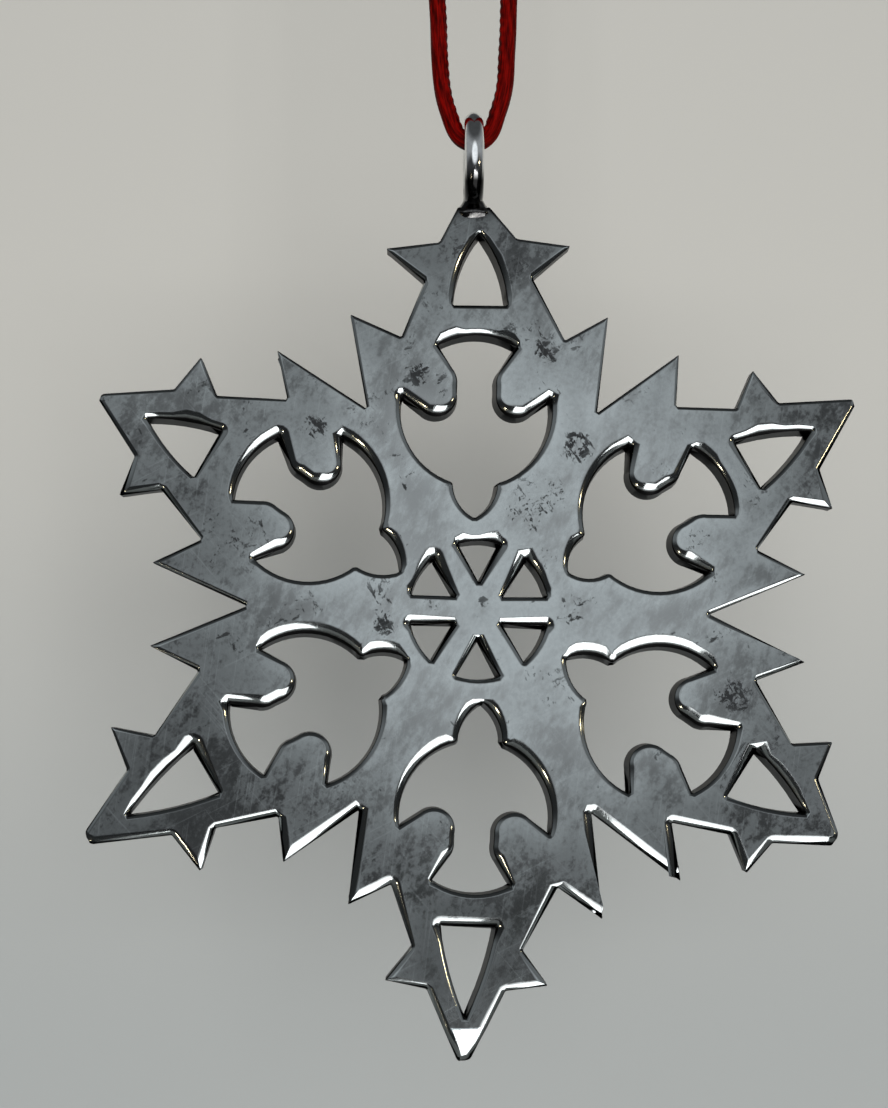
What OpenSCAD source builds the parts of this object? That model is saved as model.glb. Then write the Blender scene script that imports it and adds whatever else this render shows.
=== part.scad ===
// Pierced snowflake plate that hangs from a soldered wire ring on a knotted loop of satin cord.
// Millimetres, +Z up, front face towards -Y. The origin is where the cord's two strands meet, under the knot.
// Each arm is drawn pointing up (+Y of the drawing) and then turned to its place, clockwise from the top arm.

/* [Plate] */
// Thickness of the plate
plate_t = 2.4; // [1.6:0.1:3.2]
// Metal left between a fleur opening and the notch beside its arm
side_wall = 2.7; // [2:0.1:3.5]
// Metal left between a fleur opening and the deep notch between two arms
valley_wall = 3.4; // [2.6:0.1:4]
// Length of the spikes beside each arm, from notch to point
spike_len = 4.7; // [3:0.1:5.5]

/* [Fleur openings] */
// Plate centre to the centre of the fleur's round
fleur_u = 17.75; // [17:0.25:19]
// Radius of the fleur's round
fleur_r = 6.65; // [6:0.05:7.2]
// Radius of the lobes that reach into the round
lobe_r = 1.8; // [1.4:0.05:2]
// Distance of each lobe's centre from the arm's middle line
lobe_side = 3.5; // [3.2:0.05:4]
// Distance of each lobe's centre outward of the round's centre
lobe_rise = 1.25; // [0.8:0.05:1.8]
// Straight length of a lobe's inner side, above its round end
lobe_neck = 1.2; // [0.4:0.1:1.8]
// Half width of the stem where it leaves the round
stem_half = 1.95; // [1.5:0.05:2.4]
// Length of the pointed stem below the round
stem_len = 3.25; // [2.6:0.05:4]

/* [Star heads] */
// Metal left between a fleur opening and the window above it
bridge = 2.8; // [2.2:0.1:4]
// Half width of the window's base
window_half = 2.4; // [1.8:0.1:2.8]
// How far the window's sides bow outward
window_bow = 0.3; // [0.1:0.05:0.6]
// How far the sides of the top arm's window bow outward
top_window_bow = 0.55; // [0.1:0.05:0.8]
// Length of the windows from base to point
window_len = 6; // [5:0.1:6.5]
// Window's base to the arm's tip
head_len = 10.4; // [9.8:0.1:12]
// Height of the wing points above the window's base
wing_rise = 4.8; // [3.8:0.1:5]
// Half span of the wings
wing_half = 7; // [6:0.1:8.5]
// Height of the corner between wing and tip above the window's base
shoulder_rise = 5.4; // [5.1:0.1:6.2]
// Half width at the corner between wing and tip
shoulder_half = 3.4; // [2.8:0.1:4.2]
// Height of the corner below the wing above the window's base
root_rise = 1.9; // [1:0.1:3]
// Half width at the corner below the wing
root_half = 4.75; // [4.2:0.05:5.4]

/* [Centre openings] */
// Metal left between a stem's point and the opening inside it
eye_wall = 1.8; // [1:0.1:2.4]
// Plate centre to the inner point of the centre openings
hub_r = 2.3; // [1.6:0.1:2.8]
// Half of the angle at the inner point of the centre openings, in degrees
eye_half_angle = 29; // [20:0.5:32]

/* [Hand-cut differences, one per arm, clockwise from the top] */
// Turn of the body of the figure from upright, in degrees
body_turn = 1; // [-3:0.5:3]
// Turn of each star head from its true place, in degrees
head_turn = [0, 1.5, 2.4, 2, -0.3, 0]; // [-3:0.1:3]
// Extra length of each tip
tip_extra = [0, 0, -0.9, 1.15, 1.4, 0.2]; // [-1.5:0.05:2]
// Shift of each tip across its arm
tip_side = [0, -0.35, 0.25, 0, 0, -0.4]; // [-1:0.05:1]
// Half width of each blunt tip
tip_half = [0.55, 0.3, 0.55, 0.5, 0.55, 0.3]; // [0.2:0.05:0.8]
// Extra span of each pair of wings
wing_extra = [1.1, 0, -0.2, 0, 0.3, 0]; // [-1:0.1:2]
// Shift of each left wing along its arm
left_wing_out = [-0.3, -0.85, 0, 0, 0, 0]; // [-1.2:0.05:1.2]
// Shift of each right wing along its arm
right_wing_out = [0, -0.55, -0.4, 0, 0.5, 0]; // [-1.2:0.05:1.2]
// Shift of each left spike along its arm
left_spike_out = [-0.7, -0.2, 0.2, 0, -1.15, 0]; // [-1.2:0.05:1.2]
// Shift of each left spike across its arm
left_spike_side = [-0.6, 0, 0.35, 0, 0.25, 0]; // [-1:0.05:1]
// Shift of each right spike along its arm
right_spike_out = [-0.5, 0, 0.5, -0.9, 0, 0.35]; // [-1.2:0.05:1.2]
// Shift of each right spike across its arm
right_spike_side = [-0.15, 0, 0, -0.25, 0, -0.7]; // [-1:0.05:1]
// Shift of each window along its arm
window_out = [-0.5, -0.45, -0.45, 0, 0, 0]; // [-1:0.05:1]
// Shift of each window across its arm
window_side = [0.15, 0.1, -0.3, 0, 0, 0]; // [-0.6:0.05:0.6]
// Extra length of each window
window_extra = [0.5, 0.4, 0.6, 1.9, 1.9, 0.2]; // [-1:0.05:2]
// Shift of each fleur along its arm
fleur_out = [-0.3, 0, 0.8, 0.1, -0.4, -0.4]; // [-1:0.1:1]
// Shift of each fleur across its arm
fleur_side = [-0.5, 0.4, 0.3, 0, -0.3, 0.2]; // [-1:0.1:1]
// Turn of each fleur on its own centre, in degrees
fleur_turn = [0, -3, 3.5, 2.5, 2.5, 4.5]; // [-5:0.5:5]
// Extra length of each stem
stem_extra = [-0.45, -0.55, 0, 0, 0, 0]; // [-0.8:0.05:0.8]

/* [Ring] */
// Outer diameter of the ring
ring_od = 8.5; // [7:0.1:10]
// Diameter of the ring's wire
ring_wire = 1.7; // [1.2:0.1:1.8]
// Length cut off the top arm's tip to seat the ring
neck_cut = 2.2; // [1.6:0.1:3]
// Half width of the seat
neck_half = 1.4; // [0.9:0.05:1.6]
// Distance of the seat from the top arm's middle line
neck_side = -0.4; // [-0.8:0.1:0.8]
// Solder between seat and ring where they are closest
solder_gap = 0.15; // [0.1:0.05:0.3]
// Height of the solder collar
solder_h = 0.9; // [0.6:0.1:1.4]

/* [Cord] */
// Diameter of the satin cord
cord_d = 1.6; // [1.2:0.1:2]
// Clearance between the cord and the ring that hangs on it
hang_gap = 0.1; // [0.05:0.05:0.3]
// Height of the knot
knot_h = 5; // [4:0.5:7]
// Largest radius of the knot
knot_r = 2.5; // [2.2:0.1:3.5]
// Extra radius of the knot's flat ends beyond the two strands that meet them
knot_lip = 0.1; // [0.05:0.05:0.4]

/* [Hidden] */
$fn = 96;

arms = 6;
arm_step = 360 / arms;
cut = 1;

// Heights along an arm, measured from the plate's centre
window_u = fleur_u + fleur_r + bridge;
reach = window_u + head_len;
neck_u = reach - neck_cut;
eye_r = fleur_u - fleur_r - stem_len - eye_wall;

// Share of a lobe's radius by which its straight sides run inside its round
lobe_lap = 0.01;

// Directions round a fleur's centre, in degrees from the line across the arm
horn_angle = 10.5;
cap_angle = 58.5;
notch_angle = 40;
spike_angle = 38;

// The right half of the cord's loop as [x, z], from the bottom of its bend up to the knot
loop_half = [
    [0, -49.7], [0.5, -49.64], [0.98, -49.4], [1.4, -48.98], [1.7, -48.47], [1.93, -47.85],
    [2.16, -47.1], [2.38, -46.4], [2.59, -45.6], [2.76, -44.7], [2.89, -43.6], [3, -41.5],
    [3.1, -39], [3.25, -35], [3.3, -31], [3.2, -27], [2.95, -23], [2.6, -19], [2.15, -15],
    [1.7, -11], [1.3, -7], [0.95, -4], [0.8, -2], [0.8, 0]
];

// The right tail above the knot as [x, height above the knot]
tail_half = [[0.8, 0], [0.8, 1], [1, 2], [1.4, 3], [2, 4], [2.8, 5]];

bight_z = loop_half[0].y;
strand_x = loop_half[len(loop_half) - 1].x;
cord_sides = 8;

// Heights of what hangs on the cord
ring_path_r = (ring_od - ring_wire) / 2;
crown_z = bight_z + cord_d / 2 + hang_gap + ring_wire / 2;
ring_z = crown_z - ring_path_r;
seat_z = ring_z - ring_od / 2 - solder_gap;
plate_z = seat_z - neck_u;

// A point turned clockwise about the drawing's origin
function turned(p, a) = [p.x * cos(a) + p.y * sin(a), p.y * cos(a) - p.x * sin(a)];

// The same point on the other side of the middle line
function flipped(p) = [-p.x, p.y];

// A list in the opposite order
function backwards(list) = [for (k = [len(list) - 1:-1:0]) list[k]];

// A point at a distance and a direction
function polar(r, a) = [r * cos(a), r * sin(a)];

// Where the straight side of a lobe, drawn from point p on the rim, runs into the lobe's round at c; side is 1 or -1
function lobe_root(p, c, side) =
    let (r = lobe_r * (1 - lobe_lap), d = p - c, a = atan2(d.y, d.x) + side * acos(r / norm(d)))
    c + polar(r, a);

// Right edge of an arm's body, from the spike to the notch, with the spike's own shift
function body_edge(shift) = [
    [0, fleur_u] + polar(fleur_r + side_wall + spike_len, spike_angle) + shift,
    [0, fleur_u] + polar(fleur_r + side_wall, notch_angle)
];

// Right edge of an arm's head, from below the wing to the corner beside the tip, shifted outward
function head_edge(i, out) = [
    [root_half, window_u + root_rise + out],
    [wing_half + wing_extra[i], window_u + wing_rise + out],
    [shoulder_half, window_u + shoulder_rise + out]
];

// The tip of an arm from left to right; the top arm ends in the ring's seat
function tip_edge(i) =
    i == 0 ? [[neck_side - neck_half, neck_u], [neck_side + neck_half, neck_u]]
           : [for (side = [-1, 1]) [tip_side[i] + side * tip_half[i], reach + tip_extra[i]]];

// The whole edge of one arm, from its left spike to its right spike
function arm_edge(i) =
    let (
        body_left = [for (p = body_edge([-left_spike_side[i], left_spike_out[i]])) flipped(p)],
        body_right = body_edge([right_spike_side[i], right_spike_out[i]]),
        head_left = [for (p = head_edge(i, left_wing_out[i])) flipped(p)],
        head_right = head_edge(i, right_wing_out[i]),
        head = concat(head_left, tip_edge(i), backwards(head_right))
    )
    concat(
        [for (p = body_left) turned(p, body_turn)],
        [for (p = head) turned(p, head_turn[i])],
        [for (p = backwards(body_right)) turned(p, body_turn)]
    );

// The bottom of the deep notch that follows an arm
function valley() =
    let (half = arm_step / 2, across = fleur_u * sin(half), along = fleur_u * cos(half))
    turned([0, along + sqrt(pow(fleur_r + valley_wall, 2) - across * across)], half + body_turn);

module plate_outline() {
    polygon([
        for (i = [0:arms - 1])
            for (p = concat(arm_edge(i), [valley()]))
                turned(p, i * arm_step)
    ]);
}

// One lobe of metal that reaches into the round from the right, with the rim that it grows from
module fleur_lobe() {
    tip = [lobe_side, lobe_rise];
    neck = tip + [0, lobe_neck];
    inner = [-lobe_r * (1 - lobe_lap), 0];
    horn = polar(fleur_r, horn_angle);
    cap = polar(fleur_r, cap_angle);
    beyond = 1.5;
    translate(tip)
        circle(r = lobe_r);
    translate(neck)
        circle(r = lobe_r);
    polygon([
        cap, lobe_root(cap, neck, 1), neck, neck + inner,
        tip + inner, tip, lobe_root(horn, tip, -1), horn,
        beyond * horn, beyond * polar(fleur_r, (horn_angle + cap_angle) / 2), beyond * cap
    ]);
}

// Pointed stem below the round: two arcs that start along the arm and meet at a point
module fleur_stem(extra) {
    start = -sqrt(fleur_r * fleur_r - stem_half * stem_half);
    drop = fleur_r + stem_len + extra + start;
    arc_r = (drop * drop + stem_half * stem_half) / (2 * stem_half);
    intersection() {
        translate([arc_r - stem_half, start])
            circle(r = arc_r);
        translate([stem_half - arc_r, start])
            circle(r = arc_r);
    }
}

module fleur_opening(extra) {
    difference() {
        circle(r = fleur_r);
        fleur_lobe();
        mirror([1, 0])
            fleur_lobe();
    }
    fleur_stem(extra);
}

// Pointed window with bowed sides, its base on the drawing's X axis
module window_opening(height, bow) {
    chord = sqrt(height * height + window_half * window_half);
    arc_r = (chord * chord / 4 + bow * bow) / (2 * bow);
    middle = [window_half, height] / 2;
    outward = [height, window_half] / chord;
    centre = middle - outward * (arc_r - bow);
    intersection() {
        translate(centre)
            circle(r = arc_r);
        translate(flipped(centre))
            circle(r = arc_r);
        translate([-window_half - cut, 0])
            square([2 * (window_half + cut), height + cut]);
    }
}

// Centre opening: a wedge with its point towards the hub and a rounded outer edge
module eye_opening() {
    far = 2 * eye_r;
    intersection() {
        circle(r = eye_r);
        polygon([
            [0, hub_r],
            [0, hub_r] + far * [sin(eye_half_angle), cos(eye_half_angle)],
            [0, hub_r] + far * [-sin(eye_half_angle), cos(eye_half_angle)]
        ]);
    }
}

// All the openings of one arm
module arm_openings(i) {
    rotate(-body_turn) {
        translate([fleur_side[i], fleur_u + fleur_out[i]])
            rotate(-fleur_turn[i])
                fleur_opening(stem_extra[i]);
        eye_opening();
    }
    rotate(-head_turn[i])
        translate([window_side[i], window_u + window_out[i]])
            window_opening(window_len + window_extra[i], i == 0 ? top_window_bow : window_bow);
}

module snowflake_plate() {
    color("silver")
        translate([-neck_side, 0, plate_z])
            rotate([90, 0, 0])
                linear_extrude(plate_t, center = true)
                    difference() {
                        plate_outline();
                        for (i = [0:arms - 1])
                            rotate(-i * arm_step)
                                arm_openings(i);
                    }
}

// The ring's own solid, which the solder is shaped to as well
module ring_solid() {
    translate([0, 0, ring_z])
        rotate([0, 90, 0])
            rotate_extrude()
                translate([ring_path_r, 0])
                    circle(d = ring_wire);
}

module hanging_ring() {
    color("gainsboro")
        ring_solid();
}

module ring_solder() {
    color("dimgray")
        difference() {
            translate([0, 0, seat_z])
                cylinder(r1 = neck_half, r2 = ring_wire / 2, h = solder_h);
            ring_solid();
        }
}

// A tube along points in the XZ plane, square to the first and last stretch at its ends
module tube(route) {
    last = len(route) - 1;
    heading = [
        for (k = [0:last])
            let (d = route[min(k + 1, last)] - route[max(k - 1, 0)])
            d / norm(d)
    ];
    points = [
        for (k = [0:last])
            for (s = [0:cord_sides - 1])
                let (a = 360 * (s + 0.5) / cord_sides, side = cos(a) * cord_d / 2)
                [route[k].x - heading[k].y * side, sin(a) * cord_d / 2, route[k].y + heading[k].x * side]
    ];
    walls = [
        for (k = [0:last - 1])
            for (s = [0:cord_sides - 1])
                let (
                    a = k * cord_sides + s,
                    b = k * cord_sides + (s + 1) % cord_sides
                )
                each [[a, b, b + cord_sides], [a, b + cord_sides, a + cord_sides]]
    ];
    start_cap = [for (s = [1:cord_sides - 2]) [0, s + 1, s]];
    first_end = last * cord_sides;
    end_cap = [for (s = [1:cord_sides - 2]) [first_end, first_end + s, first_end + s + 1]];
    polyhedron(points, concat(walls, start_cap, end_cap));
}

module hanging_cord() {
    left = [for (p = backwards(loop_half)) flipped(p)];
    right = [for (k = [1:len(loop_half) - 1]) loop_half[k]];
    color("crimson")
        tube(concat(left, right));
}

module cord_knot() {
    flat_r = strand_x + cord_d / 2 + knot_lip;
    swell = knot_r - flat_r;
    arc_r = (pow(knot_h / 2, 2) + swell * swell) / (2 * swell);
    color("firebrick")
        rotate_extrude()
            intersection() {
                translate([knot_r - arc_r, knot_h / 2])
                    circle(r = arc_r);
                square([knot_r + cut, knot_h]);
            }
}

module cord_tails() {
    color("crimson")
        for (side = [1, -1])
            tube([for (p = tail_half) [side * p.x, knot_h + p.y]]);
}

snowflake_plate();
hanging_ring();
ring_solder();
hanging_cord();
cord_knot();
cord_tails();
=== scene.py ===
"""Dresses the packed snowflake ornament: rounded silver plate, wire ring, solder and braided satin cord.

Sizes in the classes are millimetres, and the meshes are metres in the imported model's own frame:
+Z is up, the plate's front faces -Y, and the origin lies under the cord's knot.
"""

import logging
import math
from dataclasses import dataclass
from enum import Enum

import bmesh
import bpy
from bmesh.types import BMEdge, BMesh, BMFace, BMLayerItem, BMVert
from bpy.types import Material, Mesh, Node, NodeSocket, NodeTree, Object
from mathutils import Matrix, Vector, noise
from mathutils.bvhtree import BVHTree
from mathutils.kdtree import KDTree


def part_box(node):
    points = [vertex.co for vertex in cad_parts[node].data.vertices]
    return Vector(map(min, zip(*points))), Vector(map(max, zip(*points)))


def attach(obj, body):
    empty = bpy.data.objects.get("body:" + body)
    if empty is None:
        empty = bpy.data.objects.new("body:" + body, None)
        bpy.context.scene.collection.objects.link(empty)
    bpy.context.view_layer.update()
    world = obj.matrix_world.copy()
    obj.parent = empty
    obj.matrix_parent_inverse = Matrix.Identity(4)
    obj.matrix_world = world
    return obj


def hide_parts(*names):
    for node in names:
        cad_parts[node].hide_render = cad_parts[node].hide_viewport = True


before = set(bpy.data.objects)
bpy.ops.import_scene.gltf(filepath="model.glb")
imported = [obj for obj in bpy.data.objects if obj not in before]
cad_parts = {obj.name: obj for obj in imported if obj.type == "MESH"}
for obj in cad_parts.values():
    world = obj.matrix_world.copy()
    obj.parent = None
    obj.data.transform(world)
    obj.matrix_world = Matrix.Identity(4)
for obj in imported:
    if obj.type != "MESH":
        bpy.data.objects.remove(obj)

Pair = tuple[float, float]
Triple = tuple[float, float, float]

MM = 0.001
MERGE_DISTANCE = 1e-6
LOG = logging.getLogger("snowflake_ornament")
# The cosine of the most that a flat face of the plate may turn from the plate's own axis.
FLAT_LIMIT = 0.99
# Edges of round pieces that turn by more than this many degrees stay crisp.
ROUND_ANGLE = 60.0
# A Mix node's colour sockets share their names with its other sockets, so they go by number.
MIX_COLOURS = (6, 7)
MIX_RESULT = 2
# Where the plate's front lies along Y, the middle from which the painted darkening of the outer heads
# spreads, and the spots where flecks crowd together.
PLATE_FRONT = -1.2
PLATE_MIDDLE = (3.5, PLATE_FRONT, -87.0)
PLATE_STAINS = (
    (-13.8, -75.2, 2.2), (-8.3, -89.0, 2.0), (-7.9, -92.5, 1.8), (0.8, -90.4, 1.0), (6.3, -68.3, 2.4),
    (9.0, -76.9, 2.6), (3.5, -82.6, 1.4), (22.6, -98.6, 3.0), (15.9, -103.6, 1.2), (3.6, -61.3, 2.5),
    (-5.0, -70.8, 2.2),
)


class Side(Enum):
    """The two faces of the plate, by the sign of their outward direction along Y."""

    FRONT = -1.0
    BACK = 1.0


class Body(Enum):
    """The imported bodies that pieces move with."""

    CORD = "cord"
    ORNAMENT = "ornament"


def piece_from(bm: BMesh, name: str, finish: Material, sharp_angle: float) -> Object:
    """Turns a bmesh into a linked object at the origin with smooth faces, and frees the bmesh.

    Args:
        bm: The finished shape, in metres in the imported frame.
        name: The piece's name.
        finish: Its material.
        sharp_angle: Edges whose faces turn by more than this many degrees stay crisp.

    Returns:
        The new object.
    """
    for face in bm.faces:
        face.smooth = True
    limit = math.radians(sharp_angle)
    for edge in bm.edges:
        edge.smooth = edge.calc_face_angle(0.0) < limit
    mesh = bpy.data.meshes.new(name)
    bm.to_mesh(mesh)
    bm.free()
    mesh.materials.append(finish)
    made = bpy.data.objects.new(name, mesh)
    bpy.context.scene.collection.objects.link(made)
    return made


def round_edges(bm: BMesh, edges: list[BMEdge], size: float, steps: int) -> None:
    """Bevels edges to a round profile.

    Args:
        bm: The shape.
        edges: The edges.
        size: How far the rounding reaches from the edge, in metres.
        steps: Faces across it.
    """
    bmesh.ops.bevel(
        bm, geom=edges, offset=size, segments=steps, profile=0.5, affect="EDGES", material=-1
    )


def close_tube(bm: BMesh, faces_round: int) -> None:
    """Joins the seam of a grid bent to a tube, closes its ends and turns its faces outwards.

    Args:
        bm: The tube.
        faces_round: Faces round it.
    """
    bmesh.ops.remove_doubles(bm, verts=bm.verts, dist=MERGE_DISTANCE)
    bmesh.ops.holes_fill(bm, edges=[e for e in bm.edges if e.is_boundary], sides=faces_round)
    bmesh.ops.recalc_face_normals(bm, faces=bm.faces)


def point_at(made: Object, place: Vector, target: Vector) -> None:
    """Links a lamp or camera to the scene, at a place and turned to a target.

    Args:
        made: The lamp or camera.
        place: Its place, in millimetres.
        target: The point that it faces, in millimetres.
    """
    made.location = place * MM
    made.rotation_mode = "QUATERNION"
    made.rotation_quaternion = (target - place).to_track_quat("-Z", "Y")
    bpy.context.scene.collection.objects.link(made)


@dataclass(frozen=True)
class Grain:
    """A noise pattern.

    Attributes:
        scale: Features per unit of its coordinates.
        detail: How many finer layers are added.
        roughness: The strength of the finer layers.
    """

    scale: float
    detail: float
    roughness: float = 0.5


class NodeSheet:
    """A thin helper that adds nodes to a tree and joins them."""

    def __init__(self, tree: NodeTree) -> None:
        """Starts on a tree that is already empty."""
        self.tree = tree

    def add(self, kind: str, **settings: object) -> Node:
        """Adds a node and sets its options.

        Args:
            kind: The node's type, without the leading ShaderNode.
            **settings: Attributes of the node.

        Returns:
            The new node.
        """
        prefix = "" if kind.startswith("Node") else "ShaderNode"
        node = self.tree.nodes.new(prefix + kind)
        for key, value in settings.items():
            setattr(node, key, value)
        return node

    def join(self, source: NodeSocket, target: NodeSocket) -> None:
        """Links one socket to another."""
        self.tree.links.new(source, target)

    def feed(self, target: NodeSocket, value: object) -> None:
        """Links a socket to another one, or sets it to a plain value.

        Args:
            target: The socket to feed.
            value: A socket or a plain value.
        """
        if isinstance(value, NodeSocket):
            self.join(value, target)
        else:
            target.default_value = value

    def math(self, operation: str, a: object, b: object) -> NodeSocket:
        """A Math node of two values, each a socket or a number.

        Args:
            operation: The Math node's operation.
            a: The first value.
            b: The second value.

        Returns:
            The result's socket.
        """
        node = self.add("Math", operation=operation)
        self.feed(node.inputs[0], a)
        self.feed(node.inputs[1], b)
        return node.outputs["Value"]

    def times(self, a: object, b: object) -> NodeSocket:
        """The product of two values, each a socket or a number."""
        return self.math("MULTIPLY", a, b)

    def weigh(self, a: NodeSocket, b: NodeSocket, shares: Pair) -> NodeSocket:
        """The sum of two values, each times its share."""
        return self.math("ADD", self.times(a, shares[0]), self.times(b, shares[1]))

    def vector(self, operation: str, source: NodeSocket, other: object) -> Node:
        """A Vector Math node of coordinates and a fixed vector.

        Args:
            operation: The node's operation.
            source: The coordinates.
            other: The fixed vector.

        Returns:
            The node.
        """
        node = self.add("VectorMath", operation=operation)
        self.join(source, node.inputs[0])
        node.inputs[1].default_value = other
        return node

    def scaled(self, source: NodeSocket, scale: NodeSocket) -> NodeSocket:
        """Coordinates times a value."""
        node = self.add("VectorMath", operation="SCALE")
        self.join(source, node.inputs[0])
        self.join(scale, node.inputs["Scale"])
        return node.outputs["Vector"]

    def height(self, where: NodeSocket) -> NodeSocket:
        """The Z of coordinates."""
        split = self.add("SeparateXYZ")
        self.join(where, split.inputs["Vector"])
        return split.outputs["Z"]

    def mark(self, name: str) -> NodeSocket:
        """A mask from one of the mesh's own layers."""
        return self.add("Attribute", attribute_name=name).outputs["Fac"]

    def ramp(self, source: NodeSocket, low: float, high: float) -> NodeSocket:
        """Maps a value to 0 below low and 1 above high, with a smooth rise between.

        Args:
            source: The value.
            low: Where the rise starts.
            high: Where it ends.

        Returns:
            The result's socket.
        """
        node = self.add("MapRange", interpolation_type="SMOOTHSTEP")
        self.join(source, node.inputs["Value"])
        node.inputs["From Min"].default_value = low
        node.inputs["From Max"].default_value = high
        return node.outputs["Result"]

    def span(self, source: NodeSocket, start: float, end: float) -> NodeSocket:
        """Maps a mask from 0..1 to start..end.

        Args:
            source: The mask.
            start: The value at 0.
            end: The value at 1.

        Returns:
            The result's socket.
        """
        node = self.add("MapRange")
        self.join(source, node.inputs["Value"])
        node.inputs["To Min"].default_value = start
        node.inputs["To Max"].default_value = end
        return node.outputs["Result"]

    def apart(self, where: NodeSocket, place: Triple) -> NodeSocket:
        """The distance of Object coordinates from a place in millimetres."""
        return self.vector("DISTANCE", where, Vector(place) * MM).outputs["Value"]

    def near(self, where: NodeSocket, spot: Triple, core: float) -> NodeSocket:
        """A mask that is 1 in the core of a round spot on the plate's front and fades to 0 at its rim.

        Args:
            where: Object coordinates.
            spot: The spot's x, z and radius, in millimetres.
            core: The core's share of the radius.

        Returns:
            The mask's socket.
        """
        x, z, radius = spot
        return self.ramp(self.apart(where, (x, PLATE_FRONT, z)), radius * MM, core * radius * MM)

    def noise(self, vector: NodeSocket, grain: Grain) -> NodeSocket:
        """A noise texture's value.

        Args:
            vector: The coordinates.
            grain: The noise pattern.

        Returns:
            The value's socket.
        """
        node = self.add("TexNoise")
        self.join(vector, node.inputs["Vector"])
        node.inputs["Scale"].default_value = grain.scale
        node.inputs["Detail"].default_value = grain.detail
        node.inputs["Roughness"].default_value = grain.roughness
        return node.outputs["Fac"]

    def mapping(
        self, vector: NodeSocket, scale: Triple, turn: float = 0.0, shift: float = 0.0
    ) -> NodeSocket:
        """Coordinates of a pattern that is moved, turned and made finer along each axis.

        Args:
            vector: The coordinates.
            scale: How much finer the pattern is along each of its axes.
            turn: The pattern's turn about Y, in degrees.
            shift: The pattern's shift along X and Z.

        Returns:
            The new coordinates' socket.
        """
        node = self.add("Mapping", vector_type="TEXTURE")
        self.join(vector, node.inputs["Vector"])
        node.inputs["Scale"].default_value = [1.0 / a for a in scale]
        node.inputs["Rotation"].default_value = (0.0, math.radians(turn), 0.0)
        node.inputs["Location"].default_value = (shift, 0.0, shift)
        return node.outputs["Vector"]

    def mix(self, mask: NodeSocket, start: object, end: object) -> NodeSocket:
        """Mixes two colours by a mask.

        Args:
            mask: 0 gives start and 1 gives end.
            start: A colour or a socket.
            end: A colour or a socket.

        Returns:
            The colour's socket.
        """
        node = self.add("Mix", data_type="RGBA")
        self.join(mask, node.inputs["Factor"])
        for index, value in zip(MIX_COLOURS, (start, end)):
            self.feed(node.inputs[index], value if isinstance(value, NodeSocket) else (*value, 1.0))
        return node.outputs[MIX_RESULT]

    def bump(self, shader: Node, height: NodeSocket, distance: float) -> None:
        """Bends a shader's normal by the slope of a height.

        Args:
            shader: The shader.
            height: The height.
            distance: The height's unit, in metres.
        """
        node = self.add("Bump")
        node.inputs["Strength"].default_value = 1.0
        node.inputs["Distance"].default_value = distance
        self.join(height, node.inputs["Height"])
        self.join(node.outputs["Normal"], shader.inputs["Normal"])

    def show(self, shader: NodeSocket) -> None:
        """Makes a shader the material's surface."""
        self.join(shader, self.add("OutputMaterial").inputs["Surface"])


def new_material(name: str) -> tuple[Material, NodeSheet]:
    """An empty material.

    Args:
        name: Its name.

    Returns:
        The material and the sheet of its nodes.
    """
    made = bpy.data.materials.new(name)
    made.use_nodes = True
    made.node_tree.nodes.clear()
    return made, NodeSheet(made.node_tree)


def node_group(
    name: str, inputs: dict[str, float], outputs: tuple[str, ...]
) -> tuple[NodeSheet, Node, Node]:
    """An empty shader node group with named float sockets.

    Args:
        name: The group's name.
        inputs: Each input and its default.
        outputs: Each output.

    Returns:
        The group's sheet, its input node and its output node.
    """
    tree = bpy.data.node_groups.new(name, "ShaderNodeTree")
    for label, value in inputs.items():
        socket = tree.interface.new_socket(label, in_out="INPUT", socket_type="NodeSocketFloat")
        socket.default_value = value
    for label in outputs:
        tree.interface.new_socket(label, in_out="OUTPUT", socket_type="NodeSocketFloat")
    sheet = NodeSheet(tree)
    return sheet, sheet.add("NodeGroupInput"), sheet.add("NodeGroupOutput")


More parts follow.
